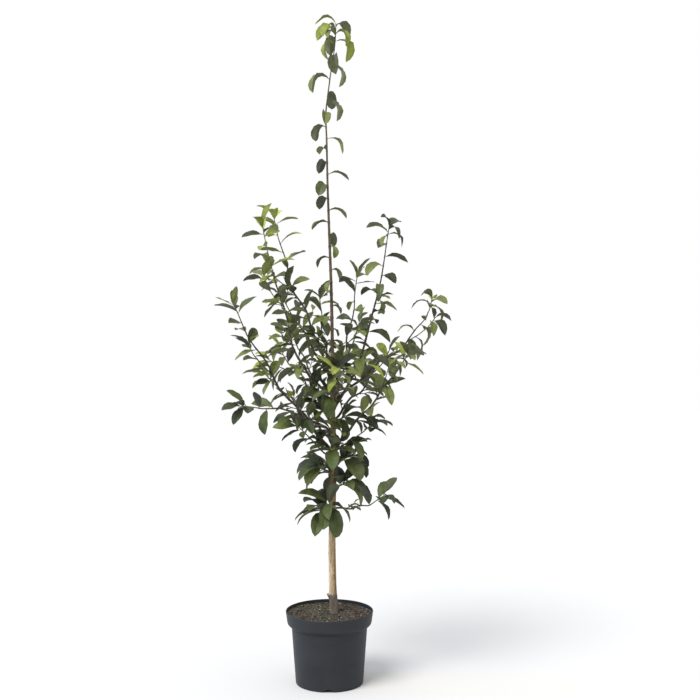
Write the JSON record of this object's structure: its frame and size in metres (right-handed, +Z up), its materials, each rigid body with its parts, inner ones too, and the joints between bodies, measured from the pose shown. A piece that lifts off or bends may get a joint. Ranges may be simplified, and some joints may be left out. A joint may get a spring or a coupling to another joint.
{
  "type": "potted medlar tree",
  "caption": "Young medlar tree with a slender trunk, upright leafy side shoots and a nodding leading tuft, standing in a round tapering nursery pot.",
  "frame": {"origin": "centre of the pot's flat underside, on the ground", "axes": "+Z up, +X to the right and +Y away from the viewer of the picture"},
  "size_m": [0.7489, 0.6473, 2.1105],
  "materials": {
    "pot": "charcoal grey moulded plastic, satin with faint scuffs",
    "soil": "brown-grey potting mix with bark chips and a little moss",
    "bark": "beige-brown bark with darker streaks, rough and grey at the foot",
    "young_bark": "smooth dark brown-grey bark of young shoots",
    "leaves": "semi-matt medlar leaves, dark to mid green with bright green shoot tips"
  },
  "bodies": {
    "root": {"bough_back": "young_bark", "bough_back_left": "young_bark", "bough_back_right": "young_bark", "bough_front": "young_bark", "bough_left_inner": "young_bark", "bough_left_inner_front": "young_bark", "bough_left_low": "young_bark", "bough_left_lower": "young_bark", "bough_left_middle": "young_bark", "bough_left_tall_back": "young_bark", "bough_left_tall_front": "young_bark", "bough_left_wide": "young_bark", "bough_right_front": "young_bark", "bough_right_inner_back": "young_bark", "bough_right_inner_front": "young_bark", "bough_right_low": "young_bark", "bough_right_lower": "young_bark", "bough_right_tall": "young_bark", "bough_right_wide": "young_bark", "foliage_back": "leaves", "foliage_back_left": "leaves", "foliage_back_right": "leaves", "foliage_front": "leaves", "foliage_leader": "leaves", "foliage_left_inner": "leaves", "foliage_left_inner_front": "leaves", "foliage_left_low": "leaves", "foliage_left_lower": "leaves", "foliage_left_middle": "leaves", "foliage_left_tall_back": "leaves", "foliage_left_tall_front": "leaves", "foliage_left_wide": "leaves", "foliage_right_front": "leaves", "foliage_right_inner_back": "leaves", "foliage_right_inner_front": "leaves", "foliage_right_low": "leaves", "foliage_right_lower": "leaves", "foliage_right_tall": "leaves", "foliage_right_wide": "leaves", "foliage_spur_back_lowest": "leaves", "foliage_spur_back_second": "leaves", "foliage_spur_back_third": "leaves", "foliage_spur_front_highest": "leaves", "foliage_spur_front_lowest": "leaves", "foliage_spur_front_second": "leaves", "foliage_spur_front_third": "leaves", "foliage_spur_left_lowest": "leaves", "foliage_spur_left_second": "leaves", "foliage_spur_left_third": "leaves", "foliage_spur_right_lowest": "leaves", "foliage_spur_right_second": "leaves", "foliage_spur_right_third": "leaves", "pot": "pot", "soil": "soil", "trunk": "bark"}
  },
  "joints": []
}
